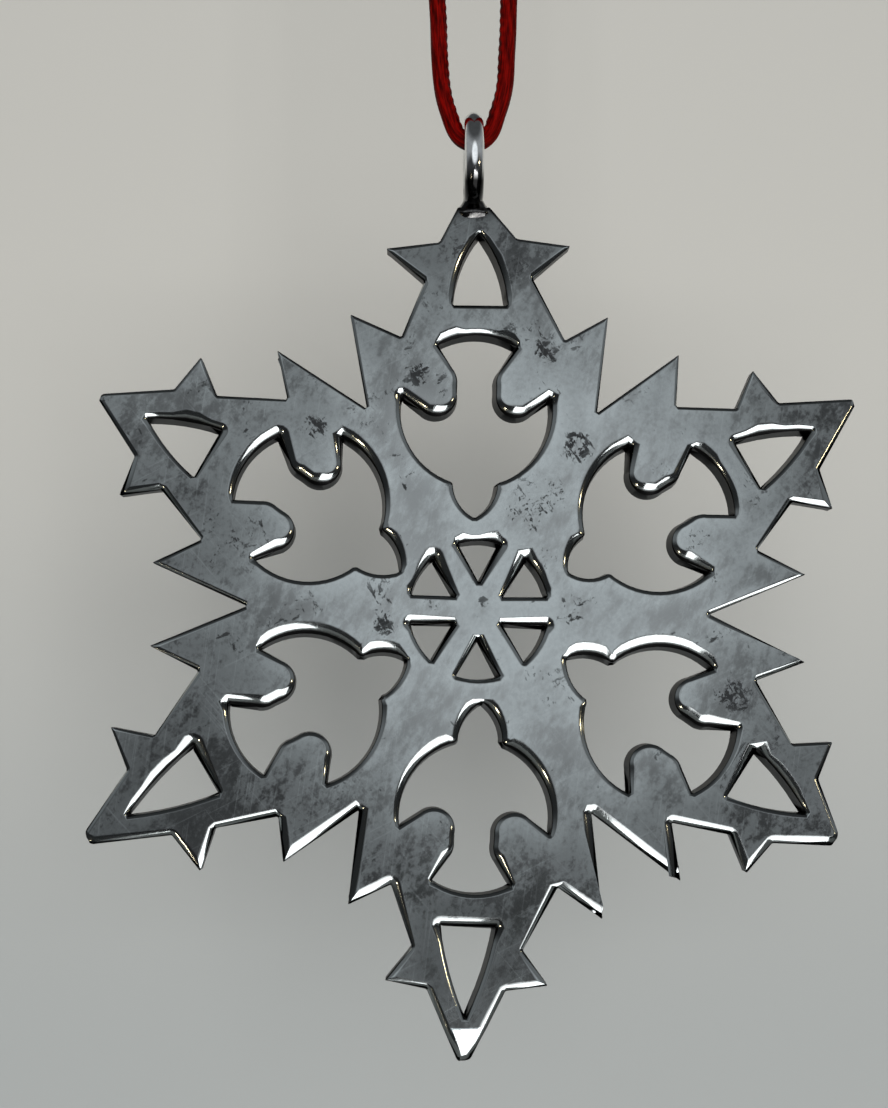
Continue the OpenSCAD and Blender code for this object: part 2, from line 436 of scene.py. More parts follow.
@dataclass(frozen=True)
class Tarnish:
    """Cloudy tarnish, fine mottling and dark flecks, in Object coordinates.

    Attributes:
        stains: Where flecks crowd together, as x, z and radius in millimetres.
        stain_core: The share of a stain's radius within which they crowd most.
        broad: The noise of the wide clouds.
        smear: The noise of the smears among them.
        smear_fineness: How much finer the smears are along each axis.
        smear_turn: Their turn, in degrees.
        cloud_shares: How much wide clouds and smears count.
        cloud_edge: Values between which a cloud starts.
        mottle: The noise of the fine mottling.
        mottle_edge: Values between which it starts.
        patch: The noise of further patches of flecks.
        patch_edge: Values between which a patch starts.
        patch_share: How much flecks crowd in a patch, against a stain.
        fleck_layers: Turn in degrees, fineness along Z, scale and shift of each layer of flecks.
        fleck_detail: How many finer layers their noise has.
        fleck_roughness: The strength of these.
        crowding: How much a stain adds to their noise.
        fleck_edge: Values between which a fleck starts.
    """

    stains: tuple[Triple, ...]
    stain_core: float = 0.2
    broad: Grain = Grain(75.0, 3.0)
    smear: Grain = Grain(620.0, 8.0, 0.66)
    smear_fineness: Triple = (1.0, 1.0, 0.5)
    smear_turn: float = 28.0
    cloud_shares: Pair = (0.5, 0.5)
    cloud_edge: Pair = (0.45, 0.6)
    mottle: Grain = Grain(1500.0, 6.0, 0.7)
    mottle_edge: Pair = (0.3, 0.7)
    patch: Grain = Grain(190.0, 3.0)
    patch_edge: Pair = (0.5, 0.66)
    patch_share: float = 0.68
    fleck_layers: tuple[tuple[float, float, float, float], ...] = (
        (-32.0, 0.3, 1500.0, 1.0), (24.0, 0.6, 2400.0, 5.0), (70.0, 0.5, 900.0, 9.0),
    )
    fleck_detail: float = 6.0
    fleck_roughness: float = 0.65
    crowding: float = 0.2
    fleck_edge: Pair = (0.72, 0.77)

    def group(self) -> NodeTree:
        """Builds the node group.

        Returns:
            The group, with the inputs Spread and Size and the outputs Clouds, Mottle and Flecks.
        """
        sheet, given, result = node_group(
            "tarnish", {"Spread": 0.5, "Size": 1.0}, ("Clouds", "Mottle", "Flecks")
        )
        where = sheet.add("TexCoord").outputs["Object"]
        vector = sheet.scaled(where, given.outputs["Size"])
        broad = sheet.noise(vector, self.broad)
        smear = sheet.noise(sheet.mapping(vector, self.smear_fineness, self.smear_turn), self.smear)
        both = sheet.weigh(broad, smear, self.cloud_shares)
        rise = sheet.math("SUBTRACT", sheet.math("ADD", both, given.outputs["Spread"]), 0.5)
        sheet.join(sheet.ramp(rise, *self.cloud_edge), result.inputs["Clouds"])
        mottle = sheet.noise(vector, self.mottle)
        sheet.join(sheet.ramp(mottle, *self.mottle_edge), result.inputs["Mottle"])
        crowd = sheet.ramp(sheet.noise(vector, self.patch), *self.patch_edge)
        crowd = sheet.times(crowd, self.patch_share)
        for stain in self.stains:
            crowd = sheet.math("MAXIMUM", crowd, sheet.near(where, stain, self.stain_core))
        extra = sheet.times(crowd, self.crowding)
        flecks = None
        for turn, fineness, scale, shift in self.fleck_layers:
            moved = sheet.mapping(vector, (1.0, 1.0, fineness), turn, shift)
            grain = Grain(scale, self.fleck_detail, self.fleck_roughness)
            crumbs = sheet.ramp(sheet.math("ADD", sheet.noise(moved, grain), extra), *self.fleck_edge)
            flecks = crumbs if flecks is None else sheet.math("MAXIMUM", flecks, crumbs)
        sheet.join(flecks, result.inputs["Flecks"])
        return sheet.tree


@dataclass(frozen=True)
class PolishingLines:
    """Fine polishing lines in three directions, in Object coordinates.

    Attributes:
        fineness: How much finer the pattern is along each of its axes.
        grain: The noise that the lines are cut from.
        ways: Turn in degrees of each direction, and the value where its lines start.
        edge: How softly a line starts.
    """

    fineness: Triple = (5200.0, 1.0, 90.0)
    grain: Grain = Grain(1.0, 2.0, 0.4)
    ways: tuple[Pair, ...] = ((8.0, 0.60), (63.0, 0.62), (-41.0, 0.63))
    edge: float = 0.09

    def group(self) -> NodeTree:
        """Builds the node group.

        Returns:
            The group, with the input Fineness and the output Lines.
        """
        sheet, given, result = node_group("polishing_lines", {"Fineness": 1.0}, ("Lines",))
        vector = sheet.scaled(sheet.add("TexCoord").outputs["Object"], given.outputs["Fineness"])
        total = None
        for turn, start in self.ways:
            along = sheet.mapping(vector, self.fineness, turn)
            line = sheet.ramp(sheet.noise(along, self.grain), start, start + self.edge)
            total = line if total is None else sheet.math("ADD", total, line)
        sheet.join(total, result.inputs["Lines"])
        return sheet.tree


@dataclass(frozen=True)
class SilverFinish:
    """Polished silver with tarnish, flecks and fine lines.

    Attributes:
        name: The material's name.
        bright: The colour of the clean metal.
        dull: The colour under the tarnish clouds.
        spread: How much of the surface the clouds cover, round 0.5.
        cloud_size: How fine the clouds are.
        shine: Roughness of the clean metal.
        haze: Roughness under the clouds.
        wave: Height of the slow waves left by hand polishing, in millimetres.
        lines: Height of the polishing lines, in millimetres.
        fineness: How fine the polishing lines are.
        grain: Strength of the fine mottling.
        glint: How much of the polishing lines' light shows.
        glint_gain: How much lighter than the clean metal they are.
        on_flats: True where the clouds keep to the mesh's flat faces, its walls are dark and its rounding
            carries painted shade.
        flat_edge: Flatness of the mesh between which the clouds start.
        dark_metal_and_shade: The colour of the dull saw-cut walls, of the painted shade on the rounding
            beside them, and of the dark end of scorch_and_shade.
        sawn_haze: How much rougher the saw-cut walls and the painted shade beside them are.
        scorch_and_shade: Heights between which the metal turns from dark to clean, in millimetres: scorch
            by the solder on the plate's tip, painted shade on the ring's lower half.
        middle: The middle of the piece, from which the darkening spreads, in millimetres.
        tarnish_and_shade_reach: Distances from the middle between which the metal darkens along the tarnish
            veins, in millimetres: partly tarnish, partly painted shade for the dark surroundings mirrored
            in the outer heads.
        darkness: The colour of flecks, of the darkening far from the middle and of the deep spots, as a
            share of the dull colour.
        vein_shares: How much clouds and mottling count in the veins of lost polish.
        vein_edge: Values between which a vein starts.
        vein_depth: How much the metal darkens between veins and in them.
        spot_core: The share of a spot's radius within which it is fullest.
        deep: Spots painted darker, partly tarnish and partly painted shade, as x, z and radius in
            millimetres.
        deep_share: How much darker it is there.
        less_darkened: Spots where the darkening far from the middle is weaker, as x, z and radius in
            millimetres.
        less_darkened_rest: What is left of the darkening there.
        rub: How much edges are rubbed bright where they are clean and where they are clouded.
        rub_rest: What is left of that in the middle and far from it.
        rub_gain: How much lighter than the clean metal they are.
        haze_shares: How much clouds and mottling count in the roughness.
        swell: The noise of the slow waves.
    """

    name: str
    bright: Triple
    dull: Triple
    spread: float
    cloud_size: float
    shine: float
    haze: float
    wave: float
    lines: float
    fineness: float = 1.0
    grain: float = 0.5
    glint: float = 0.07
    glint_gain: float = 1.3
    on_flats: bool = False
    flat_edge: Pair = (0.55, 0.98)
    dark_metal_and_shade: Triple = (0.006, 0.006, 0.006)
    sawn_haze: float = 0.3
    scorch_and_shade: Pair | None = None
    middle: Triple = (0.0, 0.0, 0.0)
    tarnish_and_shade_reach: Pair | None = None
    darkness: float = 0.13
    vein_shares: Pair = (0.5, 0.5)
    vein_edge: Pair = (0.25, 0.75)
    vein_depth: Pair = (0.74, 1.0)
    spot_core: float = 0.35
    deep: tuple[Triple, ...] = ()
    deep_share: float = 0.5
    less_darkened: tuple[Triple, ...] = ()
    less_darkened_rest: float = 0.72
    rub: Pair = (0.6, 0.3)
    rub_rest: Pair = (1.0, 0.12)
    rub_gain: float = 1.25
    haze_shares: Pair = (0.6, 0.4)
    swell: Grain = Grain(85.0, 2.0, 0.35)

    def material(self, tarnish: NodeTree, lines: NodeTree) -> Material:
        """Builds the material.

        Args:
            tarnish: The tarnish group.
            lines: The polishing lines group.

        Returns:
            The material.
        """
        made, sheet = new_material(self.name)
        shader = sheet.add("BsdfPrincipled")
        shader.inputs["Metallic"].default_value = 1.0
        where = sheet.add("TexCoord").outputs["Object"]
        clouds = sheet.add("Group", node_tree=tarnish)
        clouds.inputs["Spread"].default_value = self.spread
        clouds.inputs["Size"].default_value = self.cloud_size
        cuts = sheet.add("Group", node_tree=lines)
        cuts.inputs["Fineness"].default_value = self.fineness
        keep = sheet.ramp(sheet.mark("flatness"), *self.flat_edge) if self.on_flats else None
        cover, mottle, flecks = (
            self._kept(sheet, clouds.outputs[label], keep) for label in ("Clouds", "Mottle", "Flecks")
        )
        dark = self._shifted(self.dull, self.darkness)
        tone = sheet.mix(cover, self.bright, self.dull)
        tone = sheet.mix(sheet.times(mottle, self.grain), tone, self.dull)
        tone = sheet.mix(flecks, tone, dark)
        away = None
        # Painted shade, partly tarnish: far from the middle the metal darkens along the tarnish veins, for
        # the dark surroundings mirrored in the outer heads.
        if self.tarnish_and_shade_reach is not None:
            far = sheet.ramp(sheet.apart(where, self.middle), *(d * MM for d in self.tarnish_and_shade_reach))
            away = self._kept(sheet, far, keep)
            veins = sheet.ramp(sheet.weigh(cover, mottle, self.vein_shares), *self.vein_edge)
            darkening = sheet.span(veins, *self.vein_depth)
            for spot in self.less_darkened:
                rest = sheet.span(sheet.near(where, spot, self.spot_core), 1.0, self.less_darkened_rest)
                darkening = sheet.times(darkening, rest)
            tone = sheet.mix(sheet.times(away, darkening), tone, dark)
        # Spots painted darker: partly tarnish, partly painted shade.
        for spot in self.deep:
            near = self._kept(sheet, sheet.near(where, spot, self.spot_core), keep)
            tone = sheet.mix(sheet.times(near, self.deep_share), tone, dark)
        glints = sheet.times(cuts.outputs["Lines"], self.glint)
        tone = sheet.mix(glints, tone, self._shifted(self.bright, self.glint_gain))
        # Darkens the plate's tip, a scorch by the solder, and the ring's lower half, a painted shade.
        if self.scorch_and_shade is not None:
            clean = sheet.ramp(sheet.height(where), *(h * MM for h in self.scorch_and_shade))
            tone = sheet.mix(clean, self.dark_metal_and_shade, tone)
        rough = sheet.span(sheet.weigh(cover, mottle, self.haze_shares), self.shine, self.haze)
        if self.on_flats:
            worn = sheet.times(sheet.mark("rubbed"), sheet.span(cover, *self.rub))
            if away is not None:
                worn = sheet.times(worn, sheet.span(away, *self.rub_rest))
            tone = sheet.mix(worn, tone, self._shifted(self.bright, self.rub_gain))
            # Dull saw-cut walls, and painted shade on the steep rounding beside them, widest under edges
            # that face down.
            dark_metal_and_shade = sheet.mark("dark_metal_and_shade")
            tone = sheet.mix(dark_metal_and_shade, tone, self.dark_metal_and_shade)
            rough = sheet.math("ADD", rough, sheet.times(dark_metal_and_shade, self.sawn_haze))
        sheet.join(tone, shader.inputs["Base Color"])
        sheet.join(rough, shader.inputs["Roughness"])
        waves = sheet.noise(where, self.swell)
        relief = sheet.weigh(waves, cuts.outputs["Lines"], (self.wave * MM, -self.lines * MM))
        sheet.bump(shader, relief, 1.0)
        sheet.show(shader.outputs["BSDF"])
        return made

    @staticmethod
    def _kept(sheet: NodeSheet, mask: NodeSocket, keep: NodeSocket | None) -> NodeSocket:
        """A mask that keeps to the flat faces, where there are any."""
        return mask if keep is None else sheet.times(mask, keep)

    @staticmethod
    def _shifted(colour: Triple, gain: float) -> Triple:
        """A colour made lighter or darker."""
        red, green, blue = colour
        return (gain * red, gain * green, gain * blue)


@dataclass(frozen=True)
class SatinFinish:
    """Red satin fibres that run along a braided cord.

    Attributes:
        name: The material's name.
        deep: The colour between the fibres and in the grooves between stitches, partly the fibres' own tone
            and partly painted shade.
        bright: The colour on top of them, partly the fibres' own tone and partly painted sheen.
        shine: Roughness of the fibres.
        shine_spread: How much rougher it is between the fibres and on top of them.
        gloss: Specular level of the fibres.
        fineness: How much finer the fibres are round the cord, along it and across.
        fibre: The noise of the fibres.
        light_shares: How much fibres and stitches count in the painted light and shade.
        light_edge: Values between which the colour turns from deep to bright.
        relief: Height of the fibres, in millimetres.
    """

    name: str
    deep: Triple
    bright: Triple
    shine: float
    shine_spread: Pair = (0.12, -0.08)
    gloss: float = 0.03
    fineness: Triple = (30.0, 0.5, 1.0)
    fibre: Grain = Grain(1.0, 4.0, 0.65)
    light_shares: Pair = (1.1, 0.4)
    light_edge: Pair = (0.55, 1.1)
    relief: float = 0.05

    def material(self) -> Material:
        """Builds the material, which reads the cord's own UV map: once round, and millimetres along.

        Returns:
            The material.
        """
        made, sheet = new_material(self.name)
        shader = sheet.add("BsdfPrincipled")
        shader.inputs["Specular IOR Level"].default_value = self.gloss
        where = sheet.add("UVMap", uv_map="along").outputs["UV"]
        fibres = sheet.noise(sheet.mapping(where, self.fineness), self.fibre)
        # Partly the fibres' own tone and partly painted light and shade: darker in the grooves between
        # stitches, lighter on top of them.
        light = sheet.ramp(sheet.weigh(fibres, sheet.mark("relief"), self.light_shares), *self.light_edge)
        sheet.join(sheet.mix(light, self.deep, self.bright), shader.inputs["Base Color"])
        rough = sheet.span(fibres, *(self.shine + more for more in self.shine_spread))
        sheet.join(rough, shader.inputs["Roughness"])
        sheet.bump(shader, fibres, self.relief * MM)
        sheet.show(shader.outputs["BSDF"])
        return made


@dataclass(frozen=True)
class PaperFinish:
    """Plain pale paper that is seen only from its front.

    Attributes:
        name: The material's name.
        colour: Its colour high up.
        shaded_low_colour: Its colour low down, a painted shade.
        change: Heights between which the colour changes, in millimetres.
    """

    name: str
    colour: Triple
    shaded_low_colour: Triple
    change: Pair = (-150.0, -40.0)

    def material(self) -> Material:
        """Builds the material.

        Returns:
            The material.
        """
        made, sheet = new_material(self.name)
        where = sheet.add("TexCoord").outputs["Object"]
        # Painted shade: the paper darker and cooler low down.
        high = sheet.ramp(sheet.height(where), *(h * MM for h in self.change))
        matt = sheet.add("BsdfDiffuse")
        sheet.join(sheet.mix(high, self.shaded_low_colour, self.colour), matt.inputs["Color"])
        clear = sheet.add("BsdfTransparent")
        both = sheet.add("MixShader")
        sheet.join(sheet.add("NewGeometry").outputs["Backfacing"], both.inputs["Fac"])
        sheet.join(matt.outputs["BSDF"], both.inputs[1])
        sheet.join(clear.outputs["BSDF"], both.inputs[2])
        sheet.show(both.outputs["Shader"])
        return made


@dataclass
class EdgeRound:
    """How a face of the plate rolls over into its walls.

    Attributes:
        openings: Width of the rounding on edges of openings that face up and down.
        outline: The same on edges of the plate's outline.
        depth: Depth of the rounding, per unit of its width.
        power: How soon the rounding levels out, 2 being a parabola.
        steps: Strips of faces across it.
    """

    openings: Pair
    outline: Pair
    depth: float
    power: float
    steps: int


@dataclass(frozen=True)
class RimPoint:
    """What the rounding does at one point of a face's rim.

    Attributes:
        width: How far the rounding reaches in.
        end: Where it ends, for a corner that stands out and has one end for all its points.
    """

    width: float
    end: Vector | None


@dataclass(frozen=True)
class RimMarks:
    """Layers of the plate's points that its finish and its normals read.

    Attributes:
        flatness: 1 on flat faces.
        dark_metal_and_shade: 1 on the walls and on the painted shade of the rounding beside them.
        rubbed: 1 beside the walls, 0 further in.
        facing: The way that the surface faces.
    """

    flatness: BMLayerItem
    dark_metal_and_shade: BMLayerItem
    rubbed: BMLayerItem
    facing: BMLayerItem


@dataclass
class SnowflakePlate:
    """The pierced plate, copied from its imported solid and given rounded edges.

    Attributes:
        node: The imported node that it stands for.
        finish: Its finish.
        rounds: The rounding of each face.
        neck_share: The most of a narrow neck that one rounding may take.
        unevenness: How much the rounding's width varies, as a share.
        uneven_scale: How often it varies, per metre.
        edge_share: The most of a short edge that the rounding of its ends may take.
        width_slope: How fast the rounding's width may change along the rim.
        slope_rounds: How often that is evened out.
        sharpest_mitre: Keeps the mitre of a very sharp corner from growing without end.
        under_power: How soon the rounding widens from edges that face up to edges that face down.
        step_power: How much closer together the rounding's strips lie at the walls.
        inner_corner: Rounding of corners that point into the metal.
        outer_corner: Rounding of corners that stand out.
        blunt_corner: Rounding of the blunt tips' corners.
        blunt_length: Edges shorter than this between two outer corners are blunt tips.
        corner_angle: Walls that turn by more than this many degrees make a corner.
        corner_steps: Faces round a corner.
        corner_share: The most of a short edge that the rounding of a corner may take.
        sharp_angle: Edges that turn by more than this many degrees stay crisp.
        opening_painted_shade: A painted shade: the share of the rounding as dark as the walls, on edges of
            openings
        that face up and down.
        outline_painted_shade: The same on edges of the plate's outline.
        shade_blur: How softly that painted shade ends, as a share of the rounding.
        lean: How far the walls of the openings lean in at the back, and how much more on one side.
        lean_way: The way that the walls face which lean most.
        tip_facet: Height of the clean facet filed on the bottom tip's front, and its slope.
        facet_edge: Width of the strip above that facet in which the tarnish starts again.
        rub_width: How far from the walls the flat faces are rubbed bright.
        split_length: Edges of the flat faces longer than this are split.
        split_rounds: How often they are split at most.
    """

    node: str
    finish: Material
    rounds: dict[Side, EdgeRound]
    neck_share: float = 0.27
    unevenness: float = 0.08
    uneven_scale: float = 90.0
    edge_share: float = 0.9
    width_slope: float = 0.9
    slope_rounds: int = 30
    sharpest_mitre: float = 0.1
    under_power: float = 2.5
    step_power: float = 1.3
    inner_corner: float = 0.13
    outer_corner: float = 0.16
    blunt_corner: float = 0.42
    blunt_length: float = 1.6
    corner_angle: float = 24.0
    corner_steps: int = 4
    corner_share: float = 0.45
    sharp_angle: float = 30.0
    opening_painted_shade: Pair = (0.08, 0.34)
    outline_painted_shade: Pair = (0.0, 0.2)
    shade_blur: float = 0.1
    lean: Pair = (0.17, 0.17)
    lean_way: Triple = (-0.75, 0.0, -0.66)
    tip_facet: Pair = (2.9, 0.3)
    facet_edge: float = 0.12
    rub_width: float = 1.9
    split_length: float = 0.8
    split_rounds: int = 7

    def build(self) -> Object:
        """Builds the plate.

        Returns:
            The finished piece.
        """
        bm = bmesh.new()
        bm.from_mesh(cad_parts[self.node].data)
        bmesh.ops.remove_doubles(bm, verts=bm.verts, dist=MERGE_DISTANCE)
        marks = RimMarks(
            bm.verts.layers.float.new("flatness"),
            bm.verts.layers.float.new("dark_metal_and_shade"),
            bm.verts.layers.float.new("rubbed"),
            bm.verts.layers.float_vector.new("facing"),
        )
        walls = BVHTree.FromBMesh(bm)
        plans = {side: self._plan(bm, walls, side) for side in Side}
        flats = [f for f in bm.faces if abs(f.normal.y) > FLAT_LIMIT]
        bmesh.ops.delete(bm, geom=flats, context="FACES")
        self._soften_corners(bm)
        bm.normal_update()
        for vert in bm.verts:
            vert[marks.dark_metal_and_shade] = 1.0
        walls = BVHTree.FromBMesh(bm)
        for side in Side:
            self._round(bm, side, *plans[side], marks)
        self._rub_edges(bm, walls, marks)
        self._file_tip(bm, marks)
        bmesh.ops.recalc_face_normals(bm, faces=bm.faces)
        made = piece_from(bm, "plate", self.finish, self.sharp_angle)
        self._set_normals(made.data)
        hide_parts(self.node)
        return made

    def _plan(self, bm: BMesh, walls: BVHTree, side: Side) -> tuple[KDTree, list[RimPoint]]:
        """How the rounding goes at each point of a face's rim.

        Args:
            bm: The plate with its flat faces.
            walls: The same faces, for measuring across the metal.
            side: Which face.

        Returns:
            A tree of the rim's points, and what the rounding does at each.
        """
        facing = Vector((0.0, side.value, 0.0))
        flat = {f for f in bm.faces if f.normal.dot(facing) > FLAT_LIMIT}
        rim = [e for e in bm.edges if sum(f in flat for f in e.link_faces) == 1]
        mitre = self._mitres(rim, flat)
        shape, outline = self.rounds[side], self._outline(rim)
        widths = {
            v: self._blend(shape.outline if v in outline else shape.openings, -way.normalized()) * MM
            for v, way in mitre.items()
        }
        inset = self._insets(walls, rim, mitre, facing, widths)
        tree = KDTree(len(mitre))
        plan: list[RimPoint] = []
        limit = math.radians(self.corner_angle)
        for index, (vert, way) in enumerate(mitre.items()):
            upright = next(e for e in vert.link_edges if all(f not in flat for f in e.link_faces))
            stands_out = upright.is_convex and upright.calc_face_angle(0.0) > limit
            tree.insert(vert.co, index)
            plan.append(RimPoint(inset[vert], vert.co + way * inset[vert] if stands_out else None))
        tree.balance()
        return tree, plan

    def _mitres(self, rim: list[BMEdge], flat: set[BMFace]) -> dict[BMVert, Vector]:
        """The way into the metal from each point of a rim, per unit of width.

        Args:
            rim: The rim's edges.
            flat: Faces that aren't walls.

        Returns:
            The way at each point, square to both walls beside it.
        """
        inward: dict[BMVert, list[Vector]] = {}
        for edge in rim:
            wall = next(f for f in edge.link_faces if f not in flat)
            for vert in edge.verts:
                inward.setdefault(vert, []).append(-wall.normal)
        return {v: (a + b) / max(1.0 + a.dot(b), self.sharpest_mitre) for v, (a, b) in inward.items()}

    def _insets(
        self,
        walls: BVHTree,
        rim: list[BMEdge],
        mitre: dict[BMVert, Vector],
        facing: Vector,
        widths: dict[BMVert, float],
    ) -> dict[BMVert, float]:
        """How far the rounding reaches in from each point of the rim.

        Args:
            walls: The plate's faces before any rounding.
            rim: The edges between the flat face and the walls.
            mitre: The way in from each point, per unit of width.
            facing: The flat face's outward direction.
            widths: The rounding's full width at each point.

        Returns:
            The width at each point, narrower at thin necks and short edges.
        """
        low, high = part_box(self.node)
        middle = facing * (0.5 * (high.y - low.y))
        start_clear = 0.01 * MM
        inset: dict[BMVert, float] = {}
        for vert, way in mitre.items():
            inward = way.normalized()
            inset[vert] = widths[vert] * (1.0 + self.unevenness * noise.noise(vert.co * self.uneven_scale))
            hit, _, _, across = walls.ray_cast(vert.co - middle + inward * start_clear, inward)
            if hit is not None:
                inset[vert] = min(inset[vert], self.neck_share * across / way.length)
        for edge in rim:
            a, b = edge.verts
            along = b.co - a.co
            shrink = -(mitre[b] - mitre[a]).dot(along) / along.length
            if shrink > 0.0:
                most = self.edge_share * along.length / shrink
                inset[a], inset[b] = min(inset[a], most), min(inset[b], most)
        for _ in range(self.slope_rounds):
            for edge in rim:
                a, b = edge.verts
                reach = self.width_slope * (b.co - a.co).length
                inset[a] = min(inset[a], inset[b] + reach)
                inset[b] = min(inset[b], inset[a] + reach)
        return inset

    def _blend(self, pair: Pair, outward: Vector) -> float:
        """A value between that of edges that face up and that of edges that face down.

        Args:
            pair: The two values.
            outward: The way that the edge faces.

        Returns:
            The value for that edge.
        """
        under = (0.5 - 0.5 * outward.z) ** self.under_power
        return pair[0] * (1.0 - under) + pair[1] * under

    @staticmethod
    def _open_rim(bm: BMesh, side: Side) -> list[BMEdge]:
        """The open edges of the walls on one side."""
        return [e for e in bm.edges if e.is_boundary and (e.verts[0].co.y > 0) == (side is Side.BACK)]

    @staticmethod
    def _outline(ring: list[BMEdge]) -> set[BMVert]:
        """The points of the outermost loop of a rim.

        Args:
            ring: The edges of the rim's loops.

        Returns:
            The points of the loop that isn't an opening's.
        """
        loops, reached = set(ring), set()
        waiting = [max((v for e in ring for v in e.verts), key=lambda v: v.co.x)]
        while waiting:
            vert = waiting.pop()
            if vert not in reached:
                reached.add(vert)
                waiting.extend(e.other_vert(vert) for e in vert.link_edges if e in loops)
        return reached

    def _soften_corners(self, bm: BMesh) -> None:
        """Rounds the upright corners of the walls.

        Args:
            bm: The plate's walls, open at the front and the back.
        """
        limit = math.radians(self.corner_angle)
        corners = [e for e in bm.edges if not e.is_boundary and e.calc_face_angle(0.0) > limit]
        for edge in corners:
            beside = [e.calc_length() for v in edge.verts for e in v.link_edges if e.is_boundary]
            size = self.inner_corner
            if edge.is_convex:
                size = self.blunt_corner if min(beside) < self.blunt_length * MM else self.outer_corner
            reach = min(size * MM, self.corner_share * min(beside))
            round_edges(bm, [edge], reach, self.corner_steps)

    def _round(
        self,
        bm: BMesh,
        side: Side,
        tree: KDTree,
        plan: list[RimPoint],
        marks: RimMarks,
    ) -> None:
        """Closes one side of the walls with a rounded edge and a flat face.

        Args:
            bm: The plate, open on that side.
            side: Which side.
            tree: The tree of the rim's points before its corners were rounded.
            plan: What the rounding does at each of them.
            marks: The layers to fill.
        """
        shape = self.rounds[side]
        facing = Vector((0.0, side.value, 0.0))
        steepness = shape.power * shape.depth
        ring = self._open_rim(bm, side)
        rim = {v for e in ring for v in e.verts}
        start = {v: v.co.copy() for v in rim}
        outline = self._outline(ring)
        end, outward, drop = {}, {}, {}
        for vert, way in self._mitres(ring, set()).items():
            _, nearest, _ = tree.find(vert.co)
            point = plan[nearest]
            end[vert] = vert.co + way * point.width if point.end is None else point.end
            outward[vert] = -way.normalized()
            drop[vert] = shape.depth * point.width
            if side is Side.BACK and vert not in outline:
                more = outward[vert].dot(Vector(self.lean_way))
                start[vert] -= way * (self.lean[0] + self.lean[1] * more) * MM
        for vert in rim:
            vert.co = start[vert] - facing * drop[vert]
            vert[marks.facing] = (facing + outward[vert] * steepness).normalized()
        source = {v: v for v in rim}
        for step in range(1, shape.steps + 1):
            share = (step / shape.steps) ** self.step_power
            made = bmesh.ops.extrude_edge_only(bm, edges=ring)["geom"]
            fresh = {v for v in made if isinstance(v, BMVert)}
            ring = [e for e in made if isinstance(e, BMEdge) and fresh.issuperset(e.verts)]
            source = {
                v: source[next(o for o in (e.other_vert(v) for e in v.link_edges) if o in source)]
                for v in fresh
            }
            for vert, root in source.items():
                sink = drop[root] * (1.0 - share) ** shape.power
                vert.co = start[root].lerp(end[root], share) - facing * sink
                slope = steepness * (1.0 - share) ** (shape.power - 1.0)
                vert[marks.facing] = (facing + outward[root] * slope).normalized()
                vert[marks.flatness] = share
                # Painted shade: the steep part of the rounding beside the walls is painted as dark as them,
                # widest on edges that face down.
                darkest = self.outline_painted_shade if root in outline else self.opening_painted_shade
                dark = self._blend(darkest, outward[root])
                vert[marks.dark_metal_and_shade] = min(max((dark - share) / self.shade_blur + 0.5, 0.0), 1.0)
        bmesh.ops.remove_doubles(bm, verts=list(source), dist=MERGE_DISTANCE)
        ring = self._open_rim(bm, side)
        bmesh.ops.triangle_fill(bm, use_beauty=True, edges=ring, normal=facing)

    def _rub_edges(self, bm: BMesh, walls: BVHTree, marks: RimMarks) -> None:
        """Splits the flat faces finely and marks where polishing has rubbed them beside the walls.

        Args:
            bm: The closed plate.
            walls: The walls alone.
            marks: The layers to fill.
        """
        for _ in range(self.split_rounds):
            flat = {f for f in bm.faces if all(v[marks.flatness] == 1.0 for v in f.verts)}
            long = [
                e for e in bm.edges
                if e.calc_length() > self.split_length * MM and flat.issuperset(e.link_faces)
            ]
            if not long:
                break
            bmesh.ops.subdivide_edges(bm, edges=long, cuts=1)
            wide = [f for f in bm.faces if len(f.verts) > 4]
            bmesh.ops.triangulate(bm, faces=wide)
        for vert in bm.verts:
            if vert[marks.flatness] == 1.0:
                _, _, _, apart = walls.find_nearest(vert.co)
                vert[marks.rubbed] = min(max(1.0 - apart / (self.rub_width * MM), 0.0), 1.0)

    def _file_tip(self, bm: BMesh, marks: RimMarks) -> None:
        """Files a clean facet on the front of the bottom tip.

        Args:
            bm: The closed plate.
            marks: The layers to fill.
        """
        height, slope = self.tip_facet
        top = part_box(self.node)[0].z + height * MM
        for level in (top, top + self.facet_edge * MM):
            front = [f for f in bm.faces if all(v.co.y < 0.0 for v in f.verts)]
            edges = dict.fromkeys(e for f in front for e in f.edges)
            verts = dict.fromkeys(v for f in front for v in f.verts)
            bmesh.ops.bisect_plane(
                bm,
                geom=[*verts, *edges, *front],
                dist=MERGE_DISTANCE,
                plane_co=(0.0, 0.0, level),
                plane_no=(0.0, 0.0, 1.0),
            )
        for vert in bm.verts:
            depth = top - vert.co.z
            if vert.co.y < 0.0 and depth > -MERGE_DISTANCE:
                vert[marks.flatness] = 0.0
                if depth > MERGE_DISTANCE:
                    vert.co.y += slope * depth
                    tilted = Vector(vert[marks.facing]) - Vector((0.0, 0.0, slope))
                    vert[marks.facing] = tilted.normalized()

    @staticmethod
    def _set_normals(mesh: Mesh) -> None:
        """Gives the rounding and the flat faces the normals of the true curve.

        Args:
            mesh: The plate's mesh, whose walls alone reach from the front to the back.
        """
        facing = mesh.attributes["facing"].data
        normals = [corner.vector.copy() for corner in mesh.corner_normals]
        for face in mesh.polygons:
            ahead = [mesh.vertices[v].co.y < 0.0 for v in face.vertices]
            if all(ahead) or not any(ahead):
                for corner in face.loop_indices:
                    normals[corner] = facing[mesh.loops[corner].vertex_index].vector.copy()
        mesh.normals_split_custom_set(normals)


